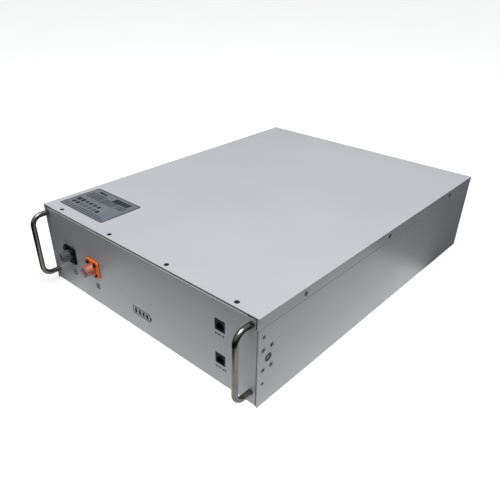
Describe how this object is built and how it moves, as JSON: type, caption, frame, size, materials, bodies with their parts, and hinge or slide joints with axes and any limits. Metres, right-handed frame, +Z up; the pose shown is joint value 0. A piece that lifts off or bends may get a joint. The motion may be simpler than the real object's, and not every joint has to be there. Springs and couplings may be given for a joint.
{
  "type": "rack battery pack",
  "caption": "Low rectangular metal-cased rack battery pack with U handles, two capped round power receptacles and two data jacks on its front.",
  "frame": {"origin": "centre of the case's flat underside (the handles reach forward of it)", "axes": "+Z up, -Y out of the front with the handles and connectors, +X to the right of someone who faces the front"},
  "size_m": [0.44, 0.602, 0.1332],
  "materials": {
    "case_paint": "satin powder coat",
    "front_paint": "satin powder coat",
    "dark_screw": "black oxide",
    "grey_screw": "dark zinc",
    "zinc": "bright zinc",
    "insert_metal": "dull plated",
    "bush": "matte",
    "stainless": "polished",
    "black_plastic": "matte",
    "orange_plastic": "semi-gloss",
    "clear_plastic": "frosted clear",
    "tin": "tin plated",
    "seal": "matte",
    "gold": "gold plated",
    "board": "solder mask",
    "ribbon": "matte",
    "heatsink": "anodised",
    "chip": "moulded",
    "brass": "plain",
    "copper": "plain copper",
    "ceramic": "fired ceramic",
    "orange_cable": "silicone jacket",
    "black_cable": "silicone jacket",
    "aluminium": "plain",
    "insulation": "laminate",
    "polycarbonate": "clear",
    "flex": "polyimide",
    "label": "printed film",
    "cell_wrap": "film wrap"
  },
  "bodies": {
    "pack": {"chassis_tray": "case_paint", "top_cover": "case_paint", "front_panel": "front_paint", "cover_front_screws": "dark_screw", "cover_flange_screws": "grey_screw", "front_panel_screws": "grey_screw", "ear_rivet_nuts": "insert_metal", "side_bushes": "bush", "handle_left": "stainless", "handle_right": "stainless", "handle_screws": "zinc", "negative_receptacle": "black_plastic", "positive_receptacle": "orange_plastic", "receptacle_pins": "tin", "receptacle_gaskets": "seal", "receptacle_screws": "dark_screw", "data_jack_upper": "black_plastic", "data_jack_lower": "black_plastic", "jack_contacts": "gold", "comms_board": "board", "comms_ribbon": "ribbon", "bms_tray": "zinc", "bms_board": "board", "bms_heatsink": "heatsink", "bms_transistors": "chip", "board_standoffs": "brass", "board_screws": "zinc", "current_shunt": "copper", "main_fuse": "ceramic", "positive_cable": "orange_cable", "negative_cable": "black_cable", "positive_link": "copper", "negative_link": "copper", "series_busbars": "aluminium", "cell_spacers": "insulation", "end_plates": "aluminium", "clamp_rails": "zinc", "pack_screws": "zinc", "floor_insulation": "insulation", "busbar_cover": "polycarbonate", "sense_harness": "flex", "rating_label": "label", "cell_01": "cell_wrap", "cell_02": "cell_wrap", "cell_03": "cell_wrap", "cell_04": "cell_wrap", "cell_05": "cell_wrap", "cell_06": "cell_wrap", "cell_07": "cell_wrap", "cell_08": "cell_wrap", "cell_09": "cell_wrap", "cell_10": "cell_wrap", "cell_11": "cell_wrap", "cell_12": "cell_wrap", "cell_13": "cell_wrap", "cell_14": "cell_wrap", "cell_15": "cell_wrap", "cell_16": "cell_wrap"},
    "negative_cap": {"negative_dust_cap": "clear_plastic"},
    "positive_cap": {"positive_dust_cap": "clear_plastic"}
  },
  "joints": [
    {"name": "negative_cap_pull", "type": "slide", "parent": "pack", "child": "negative_cap", "axis": [0, -1, 0], "range_m": [0, 0.03]},
    {"name": "positive_cap_pull", "type": "slide", "parent": "pack", "child": "positive_cap", "axis": [0, -1, 0], "range_m": [0, 0.03]}
  ]
}
